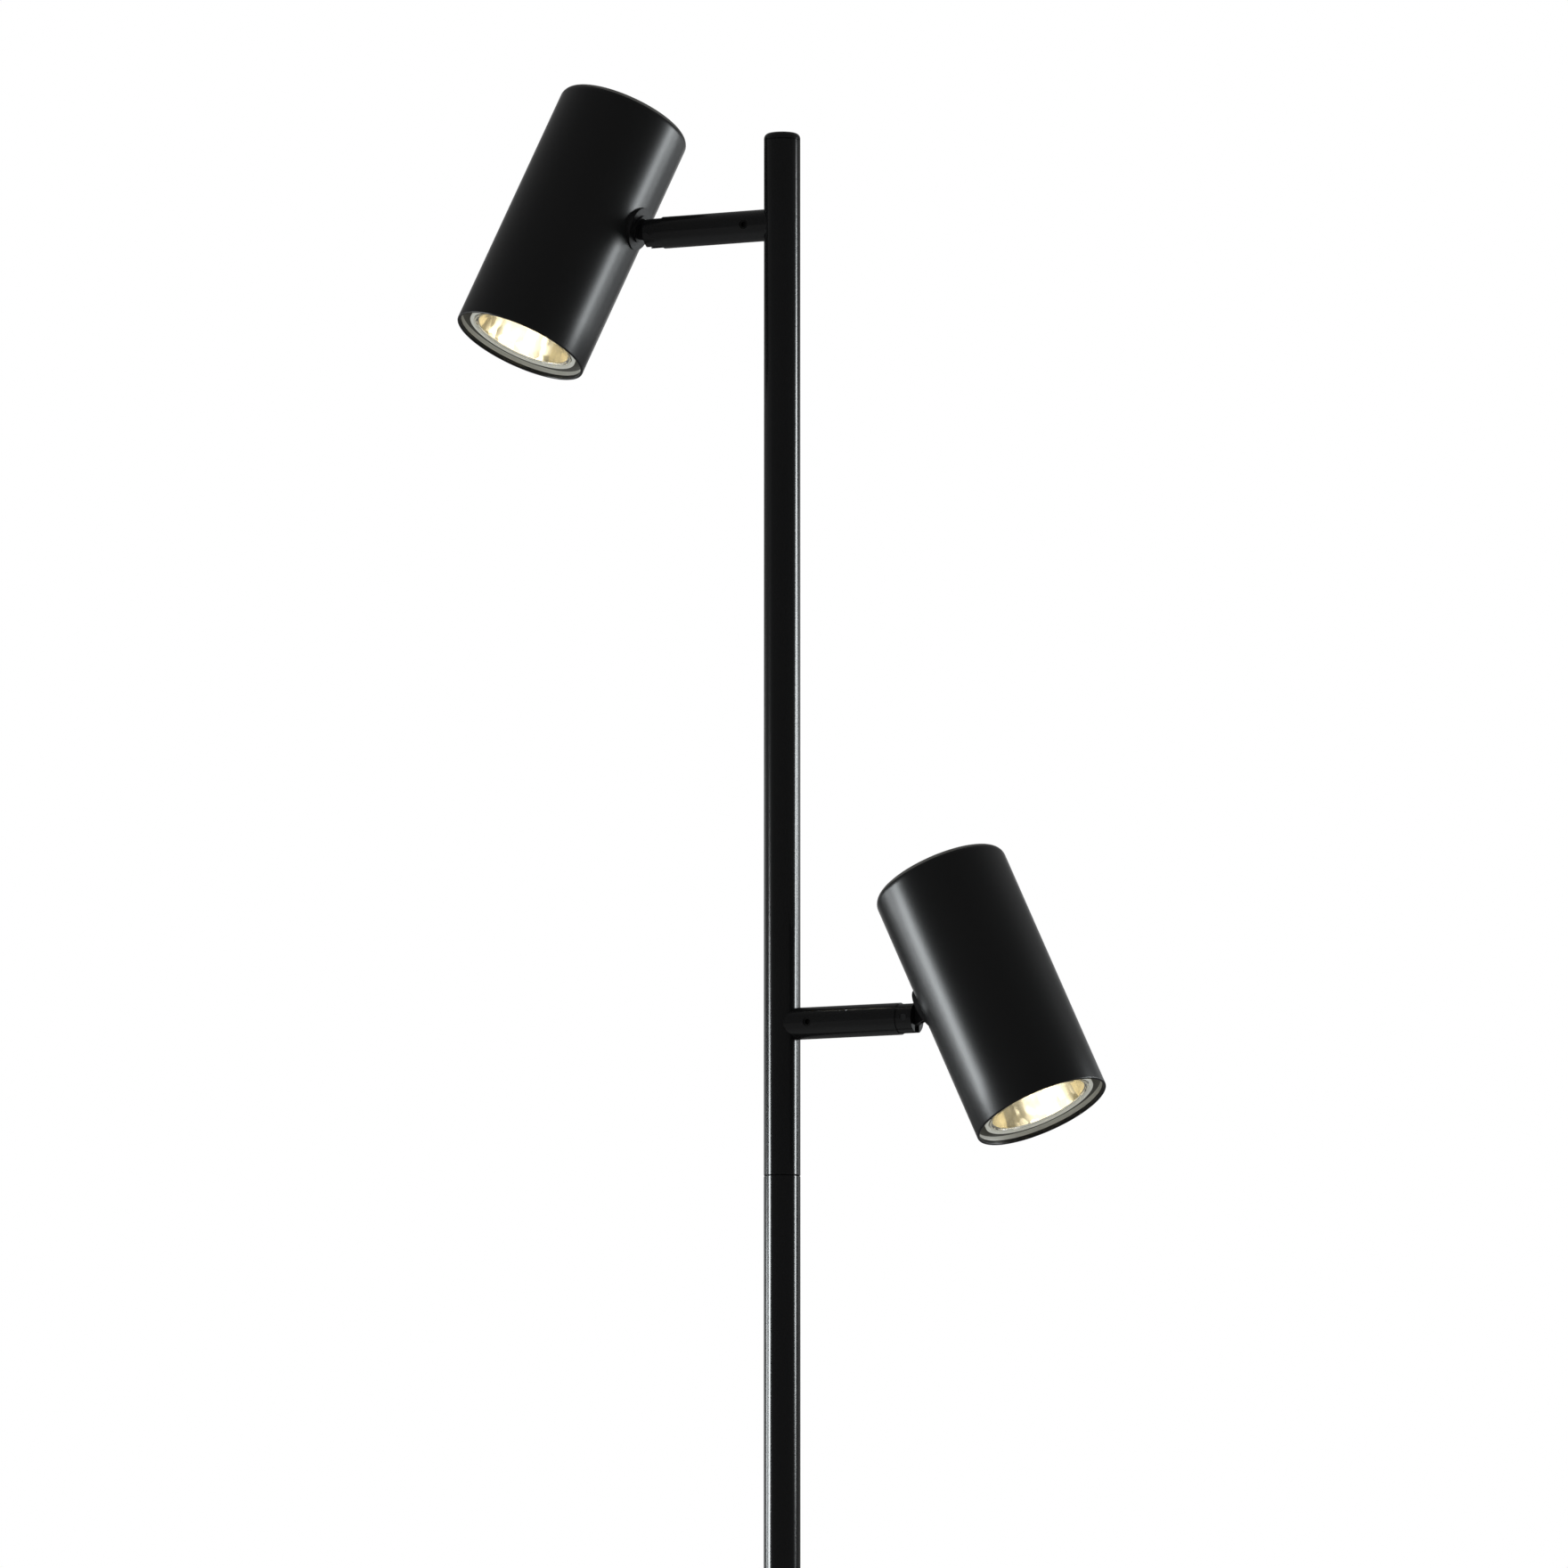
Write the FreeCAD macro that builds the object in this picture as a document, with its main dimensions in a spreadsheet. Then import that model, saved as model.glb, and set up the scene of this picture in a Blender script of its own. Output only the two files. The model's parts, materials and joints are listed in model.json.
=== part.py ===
import FreeCAD, Part
import math
import os
import Sketcher

# Two-spot pole lamp: a three-part pole on a round weighted base, with two short arms. Each arm
# ends in a fork; the knuckle in the fork tilts, and the cylindrical spot head swivels on the
# knuckle. Millimetres, +Z up. The origin is the middle of the pad's underside, on the floor.
# +X is the lower arm's direction, and the upper arm points to -X.

SIZES = {
    # base
    "pad_radius": 119.0,
    "pad_thickness": 2.0,
    "weight_radius": 122.0,
    "weight_thickness": 12.0,
    "recess_radius": 18.0,
    "recess_depth": 9.0,
    "channel_width": 11.0,
    "cover_wall": 1.2,
    "cover_gap": 1.8,
    "cover_corner": 4.0,
    "floor_gap": 1.0,
    "inlet_height": 7.4,
    "cord_bore": 3.1,
    "grommet_wall": 1.2,
    "grommet_lip": 1.4,
    "terminal_length": 24.0,
    "terminal_width": 15.0,
    "terminal_height": 6.4,
    "terminal_screw_depth": 1.8,
    "terminal_screw_offset": 4.1,
    "lead_into_terminal": 8.0,
    # pole
    "pole_radius": 8.0,
    "pole_wall": 1.2,
    "tube_length": 454.2,
    "cap_height": 3.0,
    "cap_corner": 2.5,
    "cap_plug": 9.0,
    "thread_radius": 4.95,
    "thread_bore": 3.3,
    "bush_length": 14.0,
    "stem_length": 12.0,
    "nut_flats": 14.0,
    "nut_thickness": 3.5,
    "stud_tail": 0.5,
    "washer_radius": 9.0,
    "washer_thickness": 1.0,
    "seat_clearance": 0.02,
    "running_clearance": 0.05,
    # arms
    "upper_arm_drop": 40.0,
    "lower_arm_drop": 391.2,
    "arm_radius": 7.0,
    "arm_wall": 1.2,
    "arm_length": 57.5,
    "stub_length": 22.0,
    "stub_bore": 3.0,
    "lead_hole": 3.5,
    "grub_distance": 15.5,
    "grub_radius": 2.0,
    "grub_length": 2.6,
    "grub_sink": 0.3,
    "grub_socket": 1.15,
    "grub_socket_depth": 1.2,
    "fork_radius": 6.6,
    "fork_plug": 15.0,
    "fork_bore": 2.5,
    "pin_distance": 61.5,
    "pin_radius": 1.5,
    "fork_end_reach": 3.7,
    "pin_end_gap": 0.2,
    # knuckle
    "lug_thickness": 4.0,
    "lug_radius": 4.5,
    "slot_clearance": 0.2,
    "standoff": 9.0,
    "collar_radius": 6.0,
    "collar_thickness": 0.8,
    "shank_bore": 3.0,
    "lug_bore": 1.2,
    "lock_nut_flats": 13.0,
    "lock_nut_thickness": 4.0,
    "spring_washer_thickness": 0.8,
    "fibre_washer_thickness": 1.0,
    "washer_rim": 6.8,
    "shank_tail": 0.6,
    # head
    "shade_radius": 30.0,
    "shade_length": 117.5,
    "shade_wall": 1.2,
    "shade_corner": 4.2,
    "attach_from_mouth": 67.4,
    "rosette_radius": 9.5,
    "rosette_thickness": 0.7,
    "bracket_width": 14.0,
    "bracket_thickness": 1.2,
    "bracket_leg": 17.5,
    "bracket_overhang": 12.5,
    "holder_radius": 13.5,
    "holder_length": 26.0,
    "holder_screw_spacing": 18.0,
    "screw_radius": 1.5,
    "screw_head_radius": 2.75,
    "screw_head_height": 1.8,
    "screw_length": 6.0,
    "head_lead_radius": 1.0,
    "head_lead_spacing": 2.6,
    "lead_into_holder": 4.0,
    # lamp
    "lamp_radius": 25.0,
    "lamp_length": 46.0,
    "lamp_recess": 3.0,
    "lamp_base_radius": 9.5,
    "lamp_base_length": 7.0,
    "lamp_shoulder_radius": 14.0,
    "lamp_shoulder_length": 4.0,
    "lamp_rim_length": 10.0,
    "lamp_rim_wall": 1.3,
    "lamp_glass": 1.5,
    "lamp_floor": 20.0,
    "pin_spacing": 10.0,
    "contact_head_radius": 2.5,
    "contact_head_length": 3.0,
    "contact_neck_radius": 1.5,
    "contact_length": 7.5,
    "contact_tip_gap": 1.5,
    "holder_gap": 0.3,
    "lens_thickness": 1.6,
    "lens_sink": 0.5,
    "chip_radius": 5.0,
    "chip_thickness": 1.0,
    "reflector_wall": 0.5,
    "reflector_throat": 6.5,
    "reflector_gap": 0.6,
    # leads
    "lead_radius": 1.3,
    "lead_spacing": 3.2,
    "lead_bend": 4.5,
    "lead_floor_gap": 0.6,
    # how far a cutter passes the face that it cuts
    "overrun": 1.0,
}
# The photographed pose. Tilt is how far the knuckle points above its arm; swivel turns the
# head about the knuckle, towards the front.
TILT = {"upper": 16.8, "lower": 26.0}
SWIVEL = {"upper": 19.9, "lower": 1.8}
SIDE = {"upper": -1, "lower": 1}
REFLECTOR_FACETS = 18
REFLECTOR_ROWS = 4
BOWL_BULGE = 0.18
TERMINAL_SCREW_SHARES = (0.25, 0.75)

doc = FreeCAD.newDocument("pole_lamp")
sheet = doc.addObject("Spreadsheet::Sheet", "Sizes")
for row, (name, number) in enumerate(SIZES.items(), start=1):
    sheet.set(f"A{row}", name)
    sheet.set(f"B{row}", str(number))
    sheet.setAlias(f"B{row}", name)
doc.recompute()

Vector = FreeCAD.Vector
AXIS_X = Vector(1, 0, 0)
AXIS_Y = Vector(0, 1, 0)
AXIS_Z = Vector(0, 0, 1)


class Dim:
    """A length that carries its number and the spreadsheet formula that gives it."""

    def __init__(self, number, formula):
        self.number = number
        self.formula = formula

    def __add__(self, other):
        other = dim(other)
        return Dim(self.number + other.number, f"({self.formula} + {other.formula})")

    def __sub__(self, other):
        other = dim(other)
        return Dim(self.number - other.number, f"({self.formula} - {other.formula})")

    def __mul__(self, factor):
        return Dim(self.number * factor, f"({self.formula} * {factor})")

    def __truediv__(self, factor):
        return Dim(self.number / factor, f"({self.formula} / {factor})")

    def chord(self, half_width):
        """How far from the centre of a circle of this radius a chord of that half width lies."""
        number = math.sqrt(self.number**2 - half_width.number**2)
        return Dim(number, f"sqrt({self.formula} ^ 2 - {half_width.formula} ^ 2)")


def dim(value):
    return value if isinstance(value, Dim) else Dim(float(value), str(float(value)))


def size(name):
    return Dim(float(sheet.get(name)), f"Sizes.{name}")


ZERO = dim(0)
over = size("overrun")
under = over * -1

# ---- derived places, all from the sheet ----
weight_floor = size("pad_thickness")
weight_top = weight_floor + size("weight_thickness")
lead_floor = weight_floor + size("lead_radius") + size("lead_floor_gap")
base_top = weight_top + size("cover_wall")
cover_radius = size("weight_radius") + size("cover_gap") + size("cover_wall")
recess_top = weight_floor + size("recess_depth")
pole_bore = size("pole_radius") - size("pole_wall")
plug_radius = pole_bore - size("seat_clearance")
tube_start = {
    "lower": base_top,
    "middle": base_top + size("tube_length"),
    "top": base_top + size("tube_length") * 2,
}
pole_top = base_top + size("tube_length") * 3 + size("cap_height")
arm_height = {
    "upper": pole_top - size("upper_arm_drop"),
    "lower": pole_top - size("lower_arm_drop"),
}
arm_bore = size("arm_radius") - size("arm_wall")
arm_plug_radius = arm_bore - size("seat_clearance")
slot_floor = size("pin_distance") - size("lug_radius") - size("slot_clearance") * 2
fork_end = size("pin_distance") + size("fork_end_reach")
threaded_hole = size("thread_radius") + size("seat_clearance")
shade_bore = size("shade_radius") - size("shade_wall")
axis_reach = size("shade_radius") + size("standoff")
leg_face = shade_bore.chord(size("bracket_width") / 2) - size("running_clearance")
leg_inner = leg_face - size("bracket_thickness")
fibre_inner = leg_inner - size("fibre_washer_thickness")
spring_outer = fibre_inner - size("running_clearance")
spring_inner = spring_outer - size("spring_washer_thickness")
lock_nut_inner = spring_inner - size("lock_nut_thickness")
shank_end = lock_nut_inner - size("shank_tail")
rosette_face = size("shade_radius") + size("rosette_thickness")
collar_outer = rosette_face + size("running_clearance") + size("collar_thickness")
lug_length = axis_reach - collar_outer
attach_depth = size("shade_length") - size("attach_from_mouth")
lamp_face = size("shade_length") - size("lamp_recess")
lamp_back = lamp_face - size("lamp_length")
holder_mouth = lamp_back - size("holder_gap")
holder_back = holder_mouth - size("holder_length")
flange_back = holder_back - size("bracket_thickness")


# ---- feature helpers ----
def bind(item, **formulas):
    for prop, value in formulas.items():
        item.setExpression(prop, dim(value).formula)
    return item


def plane_of(body, role):
    return next(item for item in body.Origin.OriginFeatures if item.Role == role)


def polygon_sketch(body, name, role, profile):
    """A closed sketch through (across, up) points, each held by formulas from the origin."""
    sketch = body.newObject("Sketcher::SketchObject", name)
    sketch.AttachmentSupport = [(plane_of(body, role), "")]
    sketch.MapMode = "FlatFace"
    spots = [Vector(across.number, up.number, 0) for across, up in profile]
    count = len(spots)
    for index, spot in enumerate(spots):
        sketch.addGeometry(Part.LineSegment(spot, spots[(index + 1) % count]), False)
    for index in range(count):
        sketch.addConstraint(Sketcher.Constraint("Coincident", index, 2, (index + 1) % count, 1))
    for index, (across, up) in enumerate(profile):
        for kind, value, axis in (("DistanceX", across, -2), ("DistanceY", up, -1)):
            if value.number == 0:
                sketch.addConstraint(Sketcher.Constraint("PointOnObject", index, 1, axis))
                continue
            held = Sketcher.Constraint(kind, -1, 1, index, 1, value.number)
            number = sketch.addConstraint(held)
            sketch.renameConstraint(number, f"{name}_{kind}_{index}")
            sketch.setExpression(f"Constraints.{name}_{kind}_{index}", value.formula)
    return sketch


def turned(name, profile):
    """A lathe-turned body: the (radius, height) profile revolved about Z."""
    body = doc.addObject("PartDesign::Body", name)
    sketch = polygon_sketch(body, f"{name}_profile", "XZ_Plane", profile)
    turn = body.newObject("PartDesign::Revolution", f"{name}_turn")
    turn.Profile = sketch
    turn.ReferenceAxis = (sketch, ["V_Axis"])
    turn.Angle = 360
    body.Tip = turn
    doc.recompute()
    return body


def rounded(body, radius, edges):
    """Rounds the circular edges of the body that have these (radius, height) places."""
    base = body.Tip
    names = []
    for index, edge in enumerate(base.Shape.Edges, start=1):
        curve = edge.Curve
        if not hasattr(curve, "Radius"):
            continue
        for ring, height in edges:
            same_ring = abs(curve.Radius - ring.number) < 1e-4
            if same_ring and abs(curve.Center.z - height.number) < 1e-4:
                names.append(f"Edge{index}")
    fillet = body.newObject("PartDesign::Fillet", f"{body.Name}_round_{len(body.Group)}")
    fillet.Base = (base, names)
    bind(fillet, Radius=radius)
    body.Tip = fillet
    doc.recompute()
    return body


def ring(name, outer, inner, length):
    if dim(inner).number == 0:
        return turned(name, [(ZERO, ZERO), (outer, ZERO), (outer, length), (ZERO, length)])
    return turned(name, [(inner, ZERO), (outer, ZERO), (outer, length), (inner, length)])


def turn_to(direction):
    return FreeCAD.Rotation(AXIS_Z, direction)


def rod(name, radius, start, end, direction=AXIS_Z, offset=Vector(0, 0, 0)):
    """A cylinder along a direction, from one distance to another."""
    item = doc.addObject("Part::Cylinder", name)
    bind(item, Radius=radius, Height=dim(end) - start)
    spot = offset + direction * dim(start).number
    item.Placement = FreeCAD.Placement(spot, turn_to(direction))
    return item


def block(name, low, high):
    item = doc.addObject("Part::Box", name)
    sides = [b - a for a, b in zip(low, high)]
    bind(item, Length=sides[0], Width=sides[1], Height=sides[2])
    item.Placement = FreeCAD.Placement(Vector(*[a.number for a in low]), FreeCAD.Rotation())
    return item


def hexagon(name, flats, start, end, direction=AXIS_Z):
    item = doc.addObject("Part::Prism", name)
    item.Polygon = 6
    bind(item, Circumradius=dim(flats) / (2 * math.cos(math.pi / 6)), Height=dim(end) - start)
    item.Placement = FreeCAD.Placement(direction * dim(start).number, turn_to(direction))
    return item


def joined(name, *items):
    item = doc.addObject("Part::MultiFuse", name)
    item.Shapes = list(items)
    item.Refine = True
    return item


def cut(name, base, *tools):
    item = doc.addObject("Part::Cut", name)
    item.Base = base
    item.Tool = tools[0] if len(tools) == 1 else joined(f"{name}_tools", *tools)
    return item


nodes = {}


def add_node(name, item, place=None):
    item.Label = name
    nodes[name] = (item, place if place else FreeCAD.Placement())


def lift(height):
    return FreeCAD.Placement(Vector(0, 0, dim(height).number), FreeCAD.Rotation())


# ---- base ----
def make_base():
    pad = ring("base_pad_disc", size("pad_radius"), 0, size("pad_thickness"))
    add_node("base_pad", pad)

    half_channel = size("channel_width") / 2
    half_pocket = size("terminal_width") / 2 + size("grommet_lip")
    disc = ring("weight_disc", size("weight_radius"), 0, size("weight_thickness"))
    hole = rod("weight_hole", threaded_hole, under, size("weight_thickness") + over)
    recess = rod("weight_recess", size("recess_radius"), under, size("recess_depth"))
    channel = block(
        "weight_channel",
        (half_channel * -1, ZERO, under),
        (half_channel, size("weight_radius") + over, size("recess_depth")),
    )
    pocket = block(
        "weight_pocket",
        (half_pocket * -1, ZERO, under),
        (half_pocket, size("recess_radius") * 2 + size("terminal_length"), size("recess_depth")),
    )
    weight = cut("weight_cut", disc, hole, recess, channel, pocket)
    add_node("base_weight", weight, lift(weight_floor))

    skirt_inner = cover_radius - size("cover_wall")
    skirt = size("floor_gap")
    cover = turned(
        "cover_turned",
        [
            (threaded_hole, weight_top),
            (skirt_inner, weight_top),
            (skirt_inner, skirt),
            (cover_radius, skirt),
            (cover_radius, base_top),
            (threaded_hole, base_top),
        ],
    )
    rounded(cover, size("cover_corner"), [(cover_radius, base_top)])
    grommet_hole = size("cord_bore") + size("grommet_wall")
    inlet = rod(
        "cover_inlet",
        grommet_hole,
        skirt_inner.chord(grommet_hole) - over,
        cover_radius + over,
        AXIS_Y,
        Vector(0, 0, size("inlet_height").number),
    )
    add_node("base_cover", cut("cover_cut", cover, inlet))

    lip = size("grommet_lip")
    lip_radius = grommet_hole + lip
    neck = grommet_hole - size("seat_clearance")
    wall_face = skirt_inner.chord(lip_radius) - size("running_clearance")
    wall_end = lip + cover_radius - wall_face + size("running_clearance")
    grommet = turned(
        "grommet_turned",
        [
            (size("cord_bore"), ZERO),
            (lip_radius, ZERO),
            (lip_radius, lip),
            (neck, lip),
            (neck, wall_end),
            (lip_radius, wall_end),
            (lip_radius, wall_end + lip / 2),
            (neck, wall_end + lip),
            (size("cord_bore"), wall_end + lip),
        ],
    )
    spot = Vector(0, (wall_face - lip).number, size("inlet_height").number)
    add_node("cord_inlet_grommet", grommet, FreeCAD.Placement(spot, turn_to(AXIS_Y)))

    washer_low = recess_top - size("washer_thickness")
    nut_low = washer_low - size("nut_thickness")
    washer = ring(
        "base_washer_ring", size("washer_radius"), threaded_hole, size("washer_thickness")
    )
    add_node("base_washer", washer, lift(washer_low))
    nut = hexagon("base_nut_hexagon", size("nut_flats"), nut_low, washer_low)
    nut_hole = rod("base_nut_hole", threaded_hole, nut_low - over, washer_low + over)
    add_node("base_nut", cut("base_nut_cut", nut, nut_hole))
    stud_low = nut_low - size("stud_tail")
    stud_length = base_top + size("stem_length") - stud_low
    stud = ring("base_stud_tube", size("thread_radius"), size("thread_bore"), stud_length)
    add_node("base_stud", stud, lift(stud_low))

    half_width = size("terminal_width") / 2
    near = size("recess_radius")
    far = near + size("terminal_length")
    low = weight_floor + size("running_clearance") * 2
    high = low + size("terminal_height")
    body = block("terminal_block_body", (half_width * -1, near, low), (half_width, far, high))
    bores = []
    screws = []
    for side in (-1, 1):
        across = size("lead_spacing").number / 2 * side
        bores.append(
            rod(
                f"terminal_bore_{side + 2}",
                size("lead_radius") + size("running_clearance"),
                near - over,
                near + size("terminal_length") / 2,
                AXIS_Y,
                Vector(across, 0, lead_floor.number),
            )
        )
        for share in TERMINAL_SCREW_SHARES:
            along = near.number + size("terminal_length").number * share
            screws.append(
                rod(
                    f"terminal_screw_{side + 2}_{int(share * 4)}",
                    size("screw_radius"),
                    high - size("terminal_screw_depth"),
                    high + over,
                    AXIS_Z,
                    Vector(size("terminal_screw_offset").number * side, along, 0),
                )
            )
    add_node("terminal_block", cut("terminal_block_cut", body, *bores, *screws))


# ---- pole ----
def make_pole():
    length = size("tube_length")
    for part in ("lower", "middle"):
        tube = ring(f"{part}_tube", size("pole_radius"), pole_bore, length)
        add_node(f"pole_tube_{part}", tube, lift(tube_start[part]))
    top = ring("top_tube", size("pole_radius"), pole_bore, length)
    holes = []
    for arm, side in SIDE.items():
        up = (arm_height[arm] - tube_start["top"]).number
        holes.append(
            rod(
                f"{arm}_wire_hole",
                size("lead_hole"),
                0,
                size("pole_radius") + over,
                AXIS_X * side,
                Vector(0, 0, up),
            )
        )
    add_node("pole_tube_top", cut("top_tube_cut", top, *holes), lift(tube_start["top"]))

    for part, start in tube_start.items():
        bush = ring(f"{part}_bush_ring", plug_radius, threaded_hole, size("bush_length"))
        add_node(f"pole_bush_{part}", bush, lift(start))
    for part in ("middle", "top"):
        collar = size("bush_length")
        nipple = turned(
            f"{part}_nipple_turned",
            [
                (size("thread_bore"), ZERO),
                (plug_radius, ZERO),
                (plug_radius, collar),
                (size("thread_radius"), collar),
                (size("thread_radius"), collar + size("stem_length")),
                (size("thread_bore"), collar + size("stem_length")),
            ],
        )
        add_node(f"pole_nipple_{part}", nipple, lift(tube_start[part] - collar))

    plug = size("cap_plug")
    head = plug + size("cap_height")
    cap = turned(
        "cap_turned",
        [
            (ZERO, ZERO),
            (plug_radius, ZERO),
            (plug_radius, plug),
            (size("pole_radius"), plug),
            (size("pole_radius"), head),
            (ZERO, head),
        ],
    )
    rounded(cap, size("cap_corner"), [(size("pole_radius"), head)])
    add_node("pole_cap", cap, lift(pole_top - head))


# ---- arms ----
def arm_place(arm):
    """Origin on the pole's axis, local Z along the arm, local X upwards."""
    along = AXIS_X * SIDE[arm]
    turn = FreeCAD.Rotation(AXIS_Z, along.cross(AXIS_Z) * -1, along, "ZXY")
    return FreeCAD.Placement(Vector(0, 0, arm_height[arm].number), turn)


def make_arm(arm):
    place = arm_place(arm)
    front = AXIS_Y * SIDE[arm]
    grub_spot = Vector(0, 0, size("grub_distance").number)
    coping = size("pole_radius") + size("seat_clearance")
    reach = size("arm_radius") + over

    def pole_cutter(name):
        return rod(name, coping, reach * -1, reach, AXIS_X)

    def grub_hole(name):
        radius = size("grub_radius") + size("seat_clearance")
        start = size("arm_radius") - size("grub_sink") - size("grub_length") - size("slot_clearance")
        return rod(name, radius, start, size("arm_radius") + over, front, grub_spot)

    outer = rod(f"{arm}_arm_outer", size("arm_radius"), 0, size("arm_length"))
    bore = rod(f"{arm}_arm_bore", arm_bore, under, size("arm_length") + over)
    tube = cut(
        f"{arm}_arm_cut", outer, bore, pole_cutter(f"{arm}_arm_cope"), grub_hole(f"{arm}_arm_tap")
    )
    add_node(f"{arm}_arm_tube", tube, place)

    stub_end = size("pole_radius") + size("stub_length")
    solid = rod(f"{arm}_stub_solid", arm_plug_radius, 0, stub_end)
    stub_bore = rod(f"{arm}_stub_bore", size("stub_bore"), under, stub_end + over)
    stub = cut(
        f"{arm}_stub_cut",
        solid,
        stub_bore,
        pole_cutter(f"{arm}_stub_cope"),
        grub_hole(f"{arm}_stub_tap"),
    )
    add_node(f"{arm}_arm_stub", stub, place)

    head = size("arm_radius") - size("grub_sink")
    grub = rod(
        f"{arm}_grub_rod", size("grub_radius"), head - size("grub_length"), head, front, grub_spot
    )
    socket_floor = head - size("grub_socket_depth")
    socket = hexagon(
        f"{arm}_grub_socket", size("grub_socket") * 2, socket_floor, head + over, front
    )
    socket.Placement.Base = socket.Placement.Base + grub_spot
    add_node(f"{arm}_grub_screw", cut(f"{arm}_grub_cut", grub, socket), place)

    neck = size("arm_length")
    root = neck - size("fork_plug")
    plug = rod(f"{arm}_fork_plug", arm_plug_radius, root, neck)
    cheek = rod(f"{arm}_fork_head", size("fork_radius"), neck, fork_end)
    wire = rod(f"{arm}_fork_wire", size("fork_bore"), root - over, slot_floor + over)
    half_slot = size("lug_thickness") / 2 + size("slot_clearance")
    wide = size("fork_radius") + over
    slot = block(
        f"{arm}_fork_slot", (wide * -1, half_slot * -1, slot_floor), (wide, half_slot, fork_end + over)
    )
    pin_spot = Vector(0, 0, size("pin_distance").number)
    pin_hole = rod(
        f"{arm}_fork_pin_hole",
        size("pin_radius") + size("seat_clearance"),
        wide * -1,
        wide,
        AXIS_Y,
        pin_spot,
    )
    fork = cut(f"{arm}_fork_cut", joined(f"{arm}_fork_body", plug, cheek), wire, slot, pin_hole)
    add_node(f"{arm}_arm_fork", fork, place)

    half_pin = size("fork_radius") - size("pin_end_gap")
    pin = rod(f"{arm}_pin_rod", size("pin_radius"), half_pin * -1, half_pin, AXIS_Y, pin_spot)
    add_node(f"{arm}_pivot_pin", pin, place)


# ---- knuckle and head frames ----
def pivot_point(arm):
    return Vector(SIDE[arm] * size("pin_distance").number, 0, arm_height[arm].number)


def tongue_direction(arm):
    tilt = math.radians(TILT[arm])
    return Vector(SIDE[arm] * math.cos(tilt), 0, math.sin(tilt))


def knuckle_place(arm):
    """Origin on the pivot pin, local Z towards the head, local Y along the pin."""
    towards = tongue_direction(arm)
    turn = FreeCAD.Rotation(AXIS_Y.cross(towards), AXIS_Y, towards, "ZXY")
    return FreeCAD.Placement(pivot_point(arm), turn)


def head_place(arm):
    """Origin in the middle of the closed end, local Z to the mouth, local X to the knuckle."""
    towards = tongue_direction(arm)
    tilt = math.radians(TILT[arm])
    swivel = math.radians(SWIVEL[arm])
    hanging = Vector(SIDE[arm] * math.sin(tilt), 0, -math.cos(tilt))
    axis = hanging * math.cos(swivel) + AXIS_Y * -math.sin(swivel)
    back = towards * -1
    turn = FreeCAD.Rotation(back, axis.cross(back), axis, "ZXY")
    attach = pivot_point(arm) + towards * axis_reach.number
    return FreeCAD.Placement(attach - axis * attach_depth.number, turn)


# ---- knuckle ----
def make_knuckle(arm):
    place = knuckle_place(arm)
    half_lug = size("lug_thickness") / 2
    lug = block(
        f"{arm}_lug_bar",
        (size("lug_radius") * -1, half_lug * -1, ZERO),
        (size("lug_radius"), half_lug, lug_length),
    )
    lug_end = rod(f"{arm}_lug_end", size("lug_radius"), half_lug * -1, half_lug, AXIS_Y)
    collar_end = lug_length + size("collar_thickness")
    tail = axis_reach - shank_end
    collar = rod(f"{arm}_collar", size("collar_radius"), lug_length, collar_end)
    shank = rod(f"{arm}_shank", size("thread_radius"), collar_end, tail)
    body = joined(f"{arm}_knuckle_body", lug, lug_end, collar, shank)
    pin_radius = size("pin_radius") + size("running_clearance")
    pin_hole = rod(f"{arm}_lug_hole", pin_radius, half_lug * -1 - over, half_lug + over, AXIS_Y)
    bore = rod(f"{arm}_shank_bore", size("shank_bore"), collar_end, tail + over)
    drill_spot = lug_length - size("lug_bore") * 2
    narrow = rod(f"{arm}_lug_bore", size("lug_bore"), drill_spot, collar_end + over)
    exit_spot = Vector(0, 0, drill_spot.number)
    exit_side = AXIS_X * SIDE[arm]
    way_out = rod(
        f"{arm}_lug_exit", size("lug_bore"), 0, size("lug_radius") + over, exit_side, exit_spot
    )
    knuckle = cut(f"{arm}_knuckle_cut", body, pin_hole, bore, narrow, way_out)
    add_node(f"{arm}_knuckle", knuckle, place)

    washer_start = axis_reach - spring_outer
    washer = ring(
        f"{arm}_spring_washer_ring",
        size("washer_rim"),
        threaded_hole,
        size("spring_washer_thickness"),
    )
    shift = FreeCAD.Placement(Vector(0, 0, washer_start.number), FreeCAD.Rotation())
    add_node(f"{arm}_spring_washer", washer, place.multiply(shift))

    nut_start = axis_reach - spring_inner
    nut_end = axis_reach - lock_nut_inner
    nut = hexagon(f"{arm}_lock_nut_hexagon", size("lock_nut_flats"), nut_start, nut_end)
    nut_hole = rod(f"{arm}_lock_nut_hole", threaded_hole, nut_start - over, nut_end + over)
    add_node(f"{arm}_lock_nut", cut(f"{arm}_lock_nut_cut", nut, nut_hole), place)


# ---- head ----
def attach_spot():
    return Vector(0, 0, attach_depth.number)


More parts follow.
